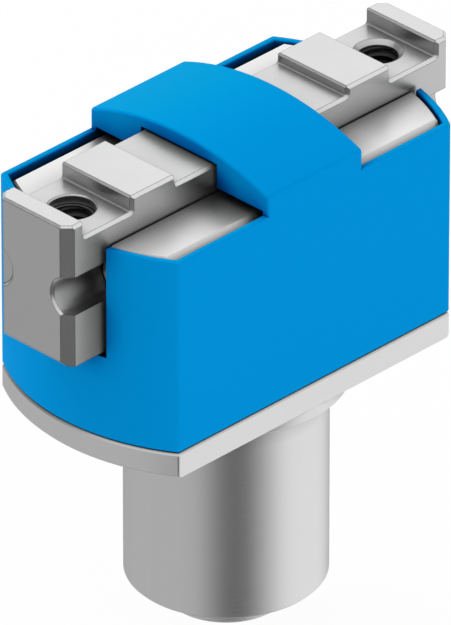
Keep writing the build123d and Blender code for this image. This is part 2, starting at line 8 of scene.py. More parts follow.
import bpy
import numpy as np
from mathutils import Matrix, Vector


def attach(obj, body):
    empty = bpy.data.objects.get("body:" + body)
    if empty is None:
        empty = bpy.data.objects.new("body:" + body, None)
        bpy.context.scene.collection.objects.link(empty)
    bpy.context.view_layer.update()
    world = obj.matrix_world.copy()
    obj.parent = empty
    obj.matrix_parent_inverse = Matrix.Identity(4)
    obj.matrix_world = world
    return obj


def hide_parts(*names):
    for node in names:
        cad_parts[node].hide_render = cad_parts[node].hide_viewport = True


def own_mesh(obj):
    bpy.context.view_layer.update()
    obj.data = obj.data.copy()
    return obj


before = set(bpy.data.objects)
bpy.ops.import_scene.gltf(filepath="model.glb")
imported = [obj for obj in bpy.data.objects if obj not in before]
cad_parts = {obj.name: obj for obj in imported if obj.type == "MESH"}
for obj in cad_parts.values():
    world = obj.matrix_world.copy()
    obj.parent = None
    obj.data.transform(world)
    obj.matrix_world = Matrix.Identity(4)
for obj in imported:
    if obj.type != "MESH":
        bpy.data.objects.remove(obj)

LOG = logging.getLogger("gripper")
MM = 0.001
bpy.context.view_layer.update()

Colour = tuple[float, float, float]
Place = tuple[float, float, float]
NodeTree = bpy.types.NodeTree
Socket = bpy.types.NodeSocket


class Lay(Enum):
    """The direction in which a machining step leaves its marks."""

    TURNED = "rings round the cylinder's axis"
    GROUND = "straight lines along the jaws' travel"
    BLASTED = "even, with no direction"


class Body(Enum):
    """The moving bodies of the gripper."""

    ROOT = "root"
    PISTON = "piston_unit"
    LEFT = "left_slide"
    RIGHT = "right_slide"


# Mesh helpers


def grid_faces(rows: int, columns: int, wrap_rows: bool, wrap_columns: bool) -> np.ndarray:
    """Number the quads of a grid of points.

    Point (i, j) has the number i * columns + j, and each quad joins (i, j), (i + 1, j), (i + 1, j + 1)
    and (i, j + 1), counted round again where the grid is wrapped.

    Args:
        rows: Points along the first parameter.
        columns: Points along the second parameter.
        wrap_rows: Whether the last row joins the first one.
        wrap_columns: Whether the last column joins the first one.

    Returns:
        An array of quads, four point numbers each.
    """
    i = np.arange(rows if wrap_rows else rows - 1)
    j = np.arange(columns if wrap_columns else columns - 1)
    near, side = np.meshgrid(i, j, indexing="ij")
    far = (near + 1) % rows
    other = (side + 1) % columns
    corners = [near * columns + side, far * columns + side, far * columns + other, near * columns + other]
    return np.stack(corners, axis=-1).reshape(-1, 4)


def make_piece(
    name: str, points: np.ndarray, faces: list[np.ndarray], smooth_angle: float = 35.0
) -> bpy.types.Object:
    """Put points and faces into a new mesh object at the origin.

    Args:
        name: The piece's name.
        points: Points in millimetres, one row each.
        faces: Arrays of faces, one array for each count of corners.
        smooth_angle: Edges sharper than this many degrees stay sharp.

    Returns:
        The linked object.
    """
    mesh = bpy.data.meshes.new(name)
    listed = [tuple(face) for block in faces for face in block.tolist()]
    mesh.from_pydata((points * MM).tolist(), [], listed)
    mesh.validate()
    mesh.shade_smooth()
    mesh.set_sharp_from_angle(angle=math.radians(smooth_angle))
    mesh.update()
    piece = bpy.data.objects.new(name, mesh)
    bpy.context.scene.collection.objects.link(piece)
    return piece


def turned_surface(profile: np.ndarray, steps: int) -> tuple[np.ndarray, np.ndarray]:
    """Turn a closed profile round Z.

    The point for profile place (r, z) and angle a is (r cos a, r sin a, z). The profile runs
    counter-clockwise in the (r, z) plane, so that the faces point outwards.

    Args:
        profile: Closed outline as (r, z) rows in millimetres, without a repeated last point.
        steps: Places round the circle.

    Returns:
        The points and the quads.
    """
    angle = np.linspace(0.0, 2.0 * math.pi, steps, endpoint=False)[:, None]
    radius, height = profile[:, 0][None, :], profile[:, 1][None, :]
    points = np.stack([radius * np.cos(angle), radius * np.sin(angle), height + 0.0 * angle], axis=-1)
    return points.reshape(-1, 3), grid_faces(steps, len(profile), True, True)


def rounded_outline(corners: np.ndarray, radius: float, steps: int = 4) -> np.ndarray:
    """Round the corners of a closed outline.

    Each corner p with neighbours a and b becomes a quadratic curve from p + (a - p) k to p + (b - p) k,
    (1 - t)^2 start + 2 t (1 - t) p + t^2 end, where k keeps the cut at the given length or at under half
    of the shorter side.

    Args:
        corners: Outline as rows of two numbers.
        radius: Length cut from each side of a corner.
        steps: Pieces of each curve.

    Returns:
        The rounded outline.
    """
    before = np.roll(corners, 1, axis=0) - corners
    after = np.roll(corners, -1, axis=0) - corners
    reach = np.minimum(np.linalg.norm(before, axis=1), np.linalg.norm(after, axis=1))
    cut = np.minimum(radius, 0.45 * reach)[:, None]
    start = corners + before / np.linalg.norm(before, axis=1)[:, None] * cut
    end = corners + after / np.linalg.norm(after, axis=1)[:, None] * cut
    t = np.linspace(0.0, 1.0, steps + 1)[None, :, None]
    curve = (1 - t) ** 2 * start[:, None] + 2 * t * (1 - t) * corners[:, None] + t**2 * end[:, None]
    return curve.reshape(-1, 2)


def helix(radius: float, turn: np.ndarray, height: np.ndarray) -> np.ndarray:
    """Return the places (R cos 2 pi t, R sin 2 pi t, h) for turns t and heights h, one row each."""
    angle = 2.0 * math.pi * turn
    return np.stack([radius * np.cos(angle), radius * np.sin(angle), height], axis=1)


def tube_along(
    path: np.ndarray, across: np.ndarray, along_z: np.ndarray
) -> tuple[np.ndarray, list[np.ndarray]]:
    """Carry a closed section along a path round Z and close both ends.

    At a path place p with outward direction e, the section point (s, t) goes to p + s e + t z, where z is
    the cylinder's axis. The section runs counter-clockwise in the (s, t) plane and the path
    counter-clockwise round Z, so that the faces point outwards.

    Args:
        path: Path places, one row each.
        across: Section's outward offsets for each path place, one row per place.
        along_z: Section's upward offsets for each path place, one row per place.

    Returns:
        The points and the face arrays.
    """
    outward = path[:, :2] / np.linalg.norm(path[:, :2], axis=1)[:, None]
    points = np.repeat(path[:, None, :], across.shape[1], axis=1).astype(float)
    points[:, :, 0] += across * outward[:, :1]
    points[:, :, 1] += across * outward[:, 1:]
    points[:, :, 2] += along_z
    count, sides = across.shape
    faces = grid_faces(count, sides, False, True)
    first = np.arange(sides)[None, :]
    last = (count - 1) * sides + np.arange(sides)[None, ::-1]
    return points.reshape(-1, 3), [faces, first, last]


# Finishes

# Noise values between which the second tone fades in, for the fine marks and for the broad mottle
MARK_FADE = (0.3, 0.7)
MOTTLE_FADE = (0.4, 0.75)
MOTTLE_SHARE = 0.6

# Scale of the ground marks along X, Y and Z, which draws them out along the jaws' travel
GROUND_STRETCH = (0.03, 1.0, 1.0)

# Likeness of the rounded normal to the straight one where an edge starts to show, and where it is full
EDGE_FADE = (0.9995, 0.96)

# Upward share of the normal from a level face to an upright one, which gets painted shade
UPRIGHT_FADE = (0.85, 0.35)

# Upward and rearward shares of the normal across the rise and the far side of a crown, where a painted
# highlight goes
CROWN_RISE = (0.8, 0.92)
CROWN_TURN = (-0.25, 0.25)

# Open share of the surroundings where no painted shade falls, and where two pieces touch and the painted
# contact shadow is full
UNSHADED = 0.97
TOUCHING = 0.6

# Strength of the shaded tone, and the depth of shade at which it gives way to the darkest one
SHADED = 0.4
DEEP_SHADE = 0.6

# Roughness below which no finish goes
LEAST_ROUGHNESS = 0.05


class Graph:
    """A short way to add and join the nodes of one node tree."""

    def __init__(self, tree: NodeTree) -> None:
        """Start with an empty tree."""
        self.tree = tree
        self.tree.nodes.clear()

    def add(self, kind: str, inputs: dict[str, object] | None = None, **settings: object) -> bpy.types.Node:
        """Add a node.

        Args:
            kind: The node's type name.
            inputs: Values or sockets for its inputs, by input name or index.
            settings: Properties of the node.

        Returns:
            The new node.
        """
        node = self.tree.nodes.new(kind)
        for key, value in settings.items():
            setattr(node, key, value)
        for key, value in (inputs or {}).items():
            socket = node.inputs[int(key) if key.isdigit() else key]
            if isinstance(value, Socket):
                self.tree.links.new(value, socket)
            else:
                socket.default_value = value
        return node

    def maths(self, operation: str, first: object, second: object = 0.0) -> Socket:
        """Return the result of one Math node."""
        return self.add("ShaderNodeMath", {"0": first, "1": second}, operation=operation).outputs[0]

    def blend(self, kind: str, factor: object, first: object, second: object) -> Socket:
        """Mix two colours.

        Args:
            kind: The blend type.
            factor: Share of the second colour.
            first: First colour or socket.
            second: Second colour or socket.

        Returns:
            The mixed colour's socket.
        """
        node = self.add("ShaderNodeMix", data_type="RGBA", blend_type=kind)
        for index, value in ((0, factor), (6, first), (7, second)):
            if isinstance(value, Socket):
                self.tree.links.new(value, node.inputs[index])
            else:
                node.inputs[index].default_value = value if index == 0 else (*value, 1.0)
        return node.outputs[2]

    def ranged(self, value: Socket, low: float, high: float, to_low: float, to_high: float) -> Socket:
        """Return a value carried smoothly from one range to another."""
        inputs = {"0": value, "1": low, "2": high, "3": to_low, "4": to_high}
        return self.add("ShaderNodeMapRange", inputs, interpolation_type="SMOOTHSTEP").outputs[0]

    def share(self, value: Socket, low: float, high: float) -> Socket:
        """Return the share, from 0 to 1, that a value has gone on its way from low to high."""
        inputs = {"0": value, "1": low, "2": high, "3": 0.0, "4": 1.0}
        return self.add("ShaderNodeMapRange", inputs, interpolation_type="LINEAR").outputs[0]


def surface_marks(graph: Graph, lay: Lay, pitch: float) -> Socket:
    """Add the noise that stands for a machining step's marks.

    Args:
        graph: The material's graph.
        lay: Direction of the marks.
        pitch: Spacing of the marks in millimetres.

    Returns:
        A value from 0 to 1.
    """
    place = graph.add("ShaderNodeTexCoord").outputs["Object"]
    if lay is Lay.TURNED:
        flat = graph.add("ShaderNodeVectorMath", {"0": place, "1": (1.0, 1.0, 0.0)}, operation="MULTIPLY")
        radius = graph.add("ShaderNodeVectorMath", {"0": flat.outputs[0]}, operation="LENGTH")
        height = graph.add("ShaderNodeSeparateXYZ", {"0": place}).outputs["Z"]
        place = graph.add("ShaderNodeCombineXYZ", {"X": radius.outputs["Value"], "Y": height}).outputs[0]
    elif lay is Lay.GROUND:
        stretch = {"0": place, "1": GROUND_STRETCH}
        place = graph.add("ShaderNodeVectorMath", stretch, operation="MULTIPLY").outputs[0]
    noise = {"Vector": place, "Scale": 1.0 / (pitch * MM), "Detail": 3.0, "Roughness": 0.6}
    return graph.add("ShaderNodeTexNoise", noise).outputs["Fac"]


def edge_mask(graph: Graph, radius: float) -> Socket:
    """Add a value that is 1 on outer and inner edges and 0 on open faces.

    Args:
        graph: The material's graph.
        radius: Width of the edge in millimetres.

    Returns:
        The mask's socket.
    """
    rounded = graph.add("ShaderNodeBevel", {"Radius": radius * MM}, samples=4).outputs[0]
    straight = graph.add("ShaderNodeNewGeometry").outputs["Normal"]
    likeness = graph.add("ShaderNodeVectorMath", {"0": rounded, "1": straight}, operation="DOT_PRODUCT")
    return graph.ranged(likeness.outputs["Value"], *EDGE_FADE, 0.0, 1.0)


@dataclass(frozen=True)
class Finish:
    """A material's look: the marks and wear of the real surface, with painted shade and painted highlights
    added.

    Pitches, depths, widths and reaches are in millimetres, and shares go from 0 to 1. The painted shade in
    corners is full where the open share of the surroundings is painted_shade_full, and a painted contact
    shadow darkens the lines where pieces touch. Upright faces get painted shade, the crown's colour is a
    painted highlight for faces that look up and to the rear, the edge colour is partly wear and partly a
    painted highlight or painted shade line, and the mirrored colour is what polished neighbours see of the
    piece.
    """

    name: str
    colour: Colour
    roughness: float
    metallic: float = 1.0
    specular: float = 0.5
    lay: Lay = Lay.BLASTED
    mark_pitch: float = 0.12
    mark_depth: float = 0.0008
    mark_contrast: float = 0.04
    roughness_spread: float = 0.06
    # Edge colour: partly wear, partly a painted highlight or painted shade line along the edges
    edge_width: float = 0.05
    edge_colour: Colour = (0.8, 0.8, 0.8)
    edge_share: float = 0.25
    # Painted shade in corners and recesses: its reach, its strength and the open share at which it is full
    painted_shade_reach: float = 2.2
    painted_shade_share: float = 0.6
    painted_shade_full: float = 0.48
    # Painted contact shadow where pieces touch: its reach and strength
    contact_shade_reach: float = 0.15
    contact_shade_share: float = 0.9
    # Darkest tone and tint of the painted shade
    dark_share: float = 0.03
    shade_tint: Colour = (1.0, 1.0, 1.0)
    mottle_pitch: float = 6.0
    # Painted shade on upright faces, and how much of the corner shade they get
    upright_painted_shade: float = 1.0
    upright_corner_shade: float = 1.0
    # Painted highlight on faces that look up and to the rear
    crown_highlight_colour: Colour | None = None
    mirrored_colour: Colour | None = None

    def make(self) -> bpy.types.Material:
        """Build the material.

        Returns:
            The node material.
        """
        material = bpy.data.materials.new(self.name)
        material.use_nodes = True
        graph = Graph(material.node_tree)
        marks = surface_marks(graph, self.lay, self.mark_pitch)
        normal = graph.add("ShaderNodeNewGeometry").outputs["Normal"]
        facing = graph.add("ShaderNodeSeparateXYZ", {"0": normal})
        upright = graph.ranged(graph.maths("ABSOLUTE", facing.outputs["Z"]), *UPRIGHT_FADE, 0.0, 1.0)
        base = self.marked_colour(graph, marks)
        base = self.faced_colour(graph, base, facing, upright)
        base = self.shaded_colour(graph, base, upright)
        rough_low = max(LEAST_ROUGHNESS, self.roughness - self.roughness_spread)
        rough = graph.ranged(marks, *MARK_FADE, rough_low, self.roughness + self.roughness_spread)
        relief = {"Strength": 1.0, "Distance": self.mark_depth * MM, "Height": marks}
        bump = graph.add("ShaderNodeBump", relief)
        surface = graph.add(
            "ShaderNodeBsdfPrincipled",
            {
                "Base Color": base,
                "Roughness": rough,
                "Normal": bump.outputs[0],
                "Metallic": self.metallic,
                "Specular IOR Level": self.specular,
            },
        )
        graph.add("ShaderNodeOutputMaterial", {"Surface": surface.outputs[0]})
        return material

    def marked_colour(self, graph: Graph, marks: Socket) -> Socket:
        """Vary the plain colour with the machining marks and a broad mottle.

        Args:
            graph: The material's graph.
            marks: The marks' noise.

        Returns:
            The colour's socket.
        """
        mottle = surface_marks(graph, Lay.BLASTED, self.mottle_pitch)
        dark = tuple(c * (1.0 - self.mark_contrast) for c in self.colour)
        pale = tuple(min(1.0, c * (1.0 + self.mark_contrast)) for c in self.colour)
        base = graph.blend("MIX", graph.ranged(marks, *MARK_FADE, 0.0, 1.0), dark, self.colour)
        return graph.blend("MIX", graph.ranged(mottle, *MOTTLE_FADE, 0.0, MOTTLE_SHARE), base, pale)

    def faced_colour(self, graph: Graph, base: Socket, facing: bpy.types.Node, upright: Socket) -> Socket:
        """Paint shade on upright faces, and a painted highlight on faces that look up and to the rear.

        Args:
            graph: The material's graph.
            base: The colour so far.
            facing: The node that splits the normal.
            upright: Value that is 1 on upright faces and 0 on level ones.

        Returns:
            The colour's socket.
        """
        # Painted shade: upright faces darker
        base = graph.blend("MIX", upright, base, tuple(c * self.upright_painted_shade for c in self.colour))
        # Painted highlight on the crown
        if self.crown_highlight_colour:
            level = graph.ranged(facing.outputs["Z"], *CROWN_RISE, 0.0, 1.0)
            crown = graph.maths("MULTIPLY", level, graph.ranged(facing.outputs["Y"], *CROWN_TURN, 0.0, 1.0))
            base = graph.blend("MIX", crown, base, self.crown_highlight_colour)
        return base

    def shaded_colour(self, graph: Graph, base: Socket, upright: Socket) -> Socket:
        """Add edge colour that is partly wear and partly painted highlight or painted shade line, painted
        shade in corners and a painted contact shadow where pieces touch.

        Args:
            graph: The material's graph.
            base: The colour so far.
            upright: Value that is 1 on upright faces and 0 on level ones.

        Returns:
            The colour's socket.
        """
        # Edges: partly wear, partly a painted highlight or painted shade line
        edge_wear_and_light = graph.maths("MULTIPLY", edge_mask(graph, self.edge_width), self.edge_share)
        base = graph.blend("MIX", edge_wear_and_light, base, self.edge_colour)
        # Painted shade: corners and recesses darkened by how little of the surroundings is open
        shade = graph.add("ShaderNodeAmbientOcclusion", {"Distance": self.painted_shade_reach * MM}, samples=8)
        strength = graph.ranged(upright, 0.0, 1.0, self.painted_shade_share, self.painted_shade_share * self.upright_corner_shade)
        depth = graph.maths("MULTIPLY", graph.share(shade.outputs["AO"], UNSHADED, self.painted_shade_full), strength)
        shaded = tuple(c * SHADED * t for c, t in zip(self.colour, self.shade_tint))
        darkest = tuple(c * self.dark_share for c in self.colour)
        base = graph.blend("MIX", graph.share(depth, 0.0, DEEP_SHADE), base, shaded)
        base = graph.blend("MIX", graph.share(depth, DEEP_SHADE, 1.0), base, darkest)
        # Painted contact shadow: a thin dark line where pieces touch
        contact = graph.add("ShaderNodeAmbientOcclusion", {"Distance": self.contact_shade_reach * MM}, samples=4)
        touching = graph.share(contact.outputs["AO"], UNSHADED, TOUCHING)
        base = graph.blend("MIX", graph.maths("MULTIPLY", touching, self.contact_shade_share), base, darkest)
        if self.mirrored_colour:
            mirrored = graph.add("ShaderNodeLightPath").outputs["Is Glossy Ray"]
            base = graph.blend("MIX", mirrored, base, self.mirrored_colour)
        return base


# These finishes keep the default painted shade in corners, painted contact shadow and lighter edges that are
# partly wear and partly painted highlight
ALUMINIUM = Finish("satin_turned_aluminium", (0.725, 0.73, 0.727), 0.36, lay=Lay.TURNED, mark_pitch=0.10)
CAP_ALUMINIUM = Finish("bright_turned_aluminium", (0.72, 0.723, 0.722), 0.5, lay=Lay.TURNED, mark_pitch=0.12)
# Jaw steel: the dark edge colour paints shade lines along the bevels, and upright faces and corners get
# painted shade
JAW_STEEL = Finish(
    "fine_ground_steel",
    (0.755, 0.76, 0.757),
    0.34,
    lay=Lay.GROUND,
    mark_pitch=0.08,
    edge_width=0.13,
    edge_colour=(0.12, 0.12, 0.12),
    edge_share=0.85,
    painted_shade_reach=3.6,
    painted_shade_share=0.72,
    painted_shade_full=0.45,
    upright_painted_shade=0.72,
    upright_corner_shade=0.45,
)
# Guide block steel: upright faces and corners get painted shade
BLOCK_STEEL = Finish(
    "bright_ground_steel",
    (0.88, 0.88, 0.878),
    0.36,
    lay=Lay.GROUND,
    mark_pitch=0.10,
    painted_shade_reach=3.8,
    painted_shade_share=0.84,
    painted_shade_full=0.45,
    upright_painted_shade=0.72,
    upright_corner_shade=0.45,
)
# Near-black steel: painted shade inside the finger holes' threads
SHADED_THREAD_STEEL = Finish("shaded_thread_steel", (0.05, 0.05, 0.05), 0.4, painted_shade_reach=1.5, edge_share=0.0)
HARD_STEEL = Finish("hardened_polished_steel", (0.72, 0.72, 0.715), 0.16, mark_depth=0.0003)
SPRING_WIRE = Finish("drawn_spring_wire", (0.50, 0.50, 0.485), 0.30, mark_pitch=0.05)
BLACK_OXIDE = Finish(
    "black_oxide", (0.045, 0.045, 0.05), 0.42, metallic=0.55, edge_colour=(0.35, 0.35, 0.36), edge_share=0.5
)
BRONZE = Finish("sintered_bronze", (0.55, 0.34, 0.14), 0.40, mark_pitch=0.07, mark_contrast=0.25)
# Blue plastic: lighter edges are a painted sheen, corners get a deep, bluer painted shade, the crown a
# painted highlight, and polished neighbours reflect it grey
BLUE = Finish(
    "moulded_blue_plastic",
    (0.0, 0.272, 0.664),
    0.48,
    metallic=0.0,
    specular=0.004,
    mark_pitch=0.09,
    mark_depth=0.0015,
    mark_contrast=0.015,
    edge_colour=(0.0, 0.34, 0.78),
    edge_share=0.2,
    painted_shade_reach=2.3,
    painted_shade_share=1.0,
    painted_shade_full=0.26,
    dark_share=0.09,
    shade_tint=(1.0, 0.8, 1.5),
    crown_highlight_colour=(0.0, 0.317, 0.655),
    mirrored_colour=(0.24, 0.25, 0.25),
)
DARK_PLASTIC = Finish(
    "filled_dark_plastic",
    (0.04, 0.04, 0.04),
    0.5,
    metallic=0.0,
    edge_colour=(0.08, 0.08, 0.08),
    mark_pitch=0.06,
)
RUBBER = Finish(
    "moulded_black_rubber",
    (0.018, 0.018, 0.018),
    0.62,
    metallic=0.0,
    specular=0.35,
    edge_colour=(0.04, 0.04, 0.04),
)

NODE_FINISHES: dict[Finish, tuple[str, ...]] = {
    ALUMINIUM: ("housing", "piston"),
    CAP_ALUMINIUM: ("end_cap",),
    BLOCK_STEEL: ("guide_block",),
    JAW_STEEL: ("left_jaw", "right_jaw", "wedge"),
    HARD_STEEL: (
        "rear_guide_rod",
        "front_guide_rod",
        "locating_pins",
        "piston_rod",
        "left_drive_pin",
        "left_roller",
        "right_drive_pin",
        "right_roller",
    ),
    BLACK_OXIDE: ("block_screws", "retaining_ring", "piston_screw"),
    BRONZE: ("rod_bush",),
    BLUE: ("cover",),
    DARK_PLASTIC: ("piston_band",),
}


class FinishRack:
    """Makes each finish once and hands it out."""

    def __init__(self) -> None:
        """Start with no finish made."""
        self.made: dict[str, bpy.types.Material] = {}

    def dress(self, piece: bpy.types.Object, finish: Finish) -> bpy.types.Object:
        """Give a piece one finish all over.

        Args:
            piece: The piece or CAD node.
            finish: The finish that it gets.

        Returns:
            The same piece.
        """
        material = self.made.get(finish.name) or finish.make()
        self.made[finish.name] = material
        piece.data.materials.clear()
        piece.data.materials.append(material)
        return piece


# Sub-assemblies, with their sizes in millimetres


@dataclass
class ScrewThread:
    """An inside thread: a ridge that winds down the wall of a hole, from its major radius inwards.

    The crest's and root's widths and the depth are shares of the pitch.
    """

    major_radius: float
    pitch: float
    top: float
    bottom: float
    steps_per_turn: int = 48
    crest_share: float = 0.16
    root_share: float = 0.86
    depth_share: float = 0.5413
    wall_grip: float = 0.012
    run_in_turns: float = 0.5
    first_depth: float = 0.02
    first_width: float = 0.4
    smooth_angle: float = 50.0

    def build(self, name: str, centre_x: float) -> bpy.types.Object:
        """Build the thread's ridge.

        The path is a helix, (R cos a, R sin a, top - pitch a / 2 pi). The section is a trapezium whose
        base lies in the wall and whose height grows from 0 to the full depth over the first and last half
        turn, as a tap leaves it.

        Args:
            name: The piece's name.
            centre_x: The hole's place along X in millimetres.

        Returns:
            The ridge.
        """
        half_base = self.root_share * self.pitch / 2
        half_crest = self.crest_share * self.pitch / 2
        turns = (self.top - self.bottom - 2 * half_base) / self.pitch
        count = int(turns * self.steps_per_turn) + 1
        turn = np.linspace(0.0, turns, count)
        path = helix(self.major_radius, turn, self.top - half_base - self.pitch * turn)
        growth = np.clip(np.minimum(turn, turns - turn) / self.run_in_turns, self.first_depth, 1.0)[:, None]
        depth = self.depth_share * self.pitch
        across = np.array([self.wall_grip, self.wall_grip, -depth, -depth])[None, :]
        across = np.where(across < 0, across * growth, across)
        rise = np.array([-half_base, half_base, half_crest, -half_crest])[None, :]
        rise = rise * (self.first_width + (1.0 - self.first_width) * growth)
        points, faces = tube_along(path, across, rise)
        points[:, 0] += centre_x
        return make_piece(name, points, faces, self.smooth_angle)


@dataclass
class FingerHoles:
    """The M3 threads in the two jaws' finger holes."""

    hole_radius: float = 1.5
    pitch: float = 0.5
    place_x: float = 15.55
    counterbore_floor: float = 19.75
    countersink_floor: float = 20.15
    hole_floor: float = 14.0
    run_out: float = 0.4

    def build(self, rack: FinishRack) -> None:
        """Build both threads and let each ride on its jaw.

        Args:
            rack: Hands out the finishes.
        """
        for body, side, top in (
            (Body.LEFT, -1.0, self.counterbore_floor),
            (Body.RIGHT, 1.0, self.countersink_floor),
        ):
            thread = ScrewThread(self.hole_radius, self.pitch, top, self.hole_floor + self.run_out)
            name = body.value.replace("slide", "finger_thread")
            piece = rack.dress(thread.build(name, side * self.place_x), SHADED_THREAD_STEEL)
            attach(piece, body.value)
            LOG.info("%s: %.0f mm wide thread in the finger hole", name, 2 * self.hole_radius)


@dataclass
class AirEnd:
    """The port thread, the cap's ring seal and the piston's landing buffer."""

    port_radius: float = 2.5
    port_pitch: float = 0.8
    port_mouth: float = -18.3
    port_floor: float = -14.2
    seal_radius: float = 5.87
    seal_level: float = -13.8
    seal_cord: float = 0.4
    cord_share: float = 0.96
    flash_rise: float = 0.04
    flash_width: float = 0.12
    buffer_inner: float = 2.8
    buffer_outer: float = 5.0
    buffer_low: float = -12.8
    buffer_high: float = -12.0
    buffer_ribs: int = 12
    buffer_corner: float = 0.12
    channel_depth: float = 0.18
    channel_slope: float = 1.6
    cord_steps: int = 32
    seal_steps: int = 96
    buffer_steps: int = 144

    def build_seal(self) -> bpy.types.Object:
        """Build the ring seal.

        A ring: the place for angles a and b is ((R + r cos b) cos a, (R + r cos b) sin a, h + r sin b),
        where r is the cord's radius, with a thin parting flash where b is near 0 and pi.

        Returns:
            The ring seal.
        """
        around = np.linspace(0.0, 2.0 * math.pi, self.cord_steps, endpoint=False)
        flash = 1.0 + self.flash_rise * np.exp(-((np.sin(around) / self.flash_width) ** 2))
        radius = self.seal_cord * self.cord_share * flash
        across = self.seal_radius + radius * np.cos(around)
        along = self.seal_level + radius * np.sin(around)
        points, faces = turned_surface(np.stack([across, along], axis=1), self.seal_steps)
        return make_piece("cap_ring_seal", points, [faces])

    def build_buffer(self) -> bpy.types.Object:
        """Build the landing buffer.

        A flat ring with rounded corners. Its upper half is lowered by d w (2 s - 1), where d is the
        channels' depth, s goes from 0 at its foot to 1 at its top, and w is 1 in the shallow channels
        between its ribs and 0 on a rib, so that air gets under the piston.

        Returns:
            The buffer.
        """
        corners = np.array(
            [
                (self.buffer_inner, self.buffer_low),
                (self.buffer_outer, self.buffer_low),
                (self.buffer_outer, self.buffer_high),
                ((self.buffer_inner + self.buffer_outer) / 2, self.buffer_high),
                (self.buffer_inner, self.buffer_high),
            ]
        )
        profile = rounded_outline(corners, self.buffer_corner)
        points, faces = turned_surface(profile, self.buffer_steps)
        angle = np.arctan2(points[:, 1], points[:, 0])
        channel = np.clip(0.5 - self.channel_slope * np.cos(self.buffer_ribs * angle), 0.0, 1.0)
        share = (points[:, 2] - self.buffer_low) / (self.buffer_high - self.buffer_low)
        points[:, 2] -= self.channel_depth * channel * np.clip(share * 2 - 1, 0.0, 1.0)
        return make_piece("landing_buffer", points, [faces])

    def build(self, rack: FinishRack) -> None:
        """Build the port thread, seal and buffer, and let them ride on the housing.

        Args:
            rack: Hands out the finishes.
        """
        thread = ScrewThread(self.port_radius, self.port_pitch, self.port_floor, self.port_mouth)
        port = rack.dress(thread.build("air_port_thread", 0.0), CAP_ALUMINIUM)
        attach(port, Body.ROOT.value)
        for piece, node in ((self.build_seal(), "end_cap_seal"), (self.build_buffer(), "piston_buffer")):
            rack.dress(piece, RUBBER)
            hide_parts(node)
            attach(piece, Body.ROOT.value)
            LOG.info("%s: stands for %s", piece.name, node)


@dataclass
class PistonDrive:
    """The piston's lip seal and the return spring."""

    seal_inner: float = 4.92
    seal_outer: float = 5.98
    seal_low: float = -10.38
    seal_high: float = -9.12
    spring_radius: float = 4.6
    wire_radius: float = 0.3
    spring_low: float = -8.5
    spring_high: float = 0.0
    total_turns: float = 6.5
    closed_turns: float = 0.8
    piston_travel: float = 4.0
    seal_corner: float = 0.14
    valley_start: float = 1.2
    valley_end: float = 1.8
    seal_steps: int = 96
    ground_share: float = 0.6
    end_inset: float = 0.01
    steps_per_turn: int = 40
    softened_steps: int = 15
    wire_sides: int = 16

    def build_lip_seal(self) -> bpy.types.Object:
        """Build the lip seal.

        Its section, turned round Z, is a block with a valley cut into its lower side as far as its middle
        height, which leaves one lip on the groove's floor and one on the bore. All corners are rounded.

        Returns:
            The lip seal.
        """
        wall = (self.seal_outer - self.seal_inner) / 3
        middle = (self.seal_low + self.seal_high) / 2
        corners = np.array(
            [
                (self.seal_inner, self.seal_low),
                (self.seal_inner + wall, self.seal_low),
                (self.seal_inner + self.valley_start * wall, middle),
                (self.seal_inner + self.valley_end * wall, middle),
                (self.seal_outer - wall, self.seal_low),
                (self.seal_outer, self.seal_low),
                (self.seal_outer - wall / 2, self.seal_high),
                (self.seal_inner, self.seal_high),
            ]
        )
        points, faces = turned_surface(rounded_outline(corners, self.seal_corner), self.seal_steps)
        return make_piece("piston_lip_seal", points, [faces])

    def build_spring(self) -> bpy.types.Object:
        """Build the return spring.

        The wire's middle is at (R cos a, R sin a, h(t)). Its height h rises by one wire thickness a turn
        in the closed turns at both ends and evenly between them. The section is a circle across the wire,
        and points past the end planes are moved onto them, which gives the ground flat ends.

        Returns:
            The spring.
        """
        steps = int(self.total_turns * self.steps_per_turn)
        turn = np.linspace(0.0, self.total_turns, steps + 1)
        first = self.spring_low + self.wire_radius * self.ground_share
        last = self.spring_high - self.wire_radius * self.ground_share
        closed_rise = 2 * self.wire_radius * self.closed_turns
        stops = [0.0, self.closed_turns, self.total_turns - self.closed_turns, self.total_turns]
        height = np.interp(turn, stops, [first, first + closed_rise, last - closed_rise, last])
        soft = np.hanning(self.softened_steps) / np.hanning(self.softened_steps).sum()
        longer = np.pad(height, self.softened_steps // 2, mode="reflect", reflect_type="odd")
        height = np.convolve(longer, soft, mode="valid")
        path = helix(self.spring_radius, turn, height)
        around = np.linspace(0.0, 2.0 * math.pi, self.wire_sides, endpoint=False)[None, :]
        across = np.repeat(self.wire_radius * np.cos(around), steps + 1, axis=0)
        rise = np.repeat(self.wire_radius * np.sin(around), steps + 1, axis=0)
        points, faces = tube_along(path, across, rise)
        lowest, highest = self.spring_low + self.end_inset, self.spring_high - self.end_inset
        points[:, 2] = np.clip(points[:, 2], lowest, highest)
        return make_piece("return_spring_coil", points, faces)

    def build(self, rack: FinishRack) -> None:
        """Build the seal that rides on the piston and the return spring, which rides on the housing.

        Args:
            rack: Hands out the finishes.
        """
        seal = rack.dress(self.build_lip_seal(), RUBBER)
        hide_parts("piston_seal")
        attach(seal, Body.PISTON.value)
        spring = rack.dress(self.build_spring(), SPRING_WIRE)
        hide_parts("return_spring")
        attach(spring, Body.ROOT.value)
        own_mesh(spring)


# Studio


@dataclass(frozen=True)
class Softbox:
    """A soft square lamp that faces the object, with its place and side in millimetres and power in watts."""

    name: str
    place: Place
    side: float
    power: float


@dataclass(frozen=True)
class Flag:
    """A grey patch of a sphere that only polished surfaces see.

    Turns are measured from the camera's side and tilts above the horizon, in degrees. Each stop is a turn
    and the brightness there, and the brightness goes evenly from stop to stop.
    """

    name: str
    tilts: tuple[float, float]
    stops: tuple[tuple[float, float], ...]
    columns: int
    rows: int = 24


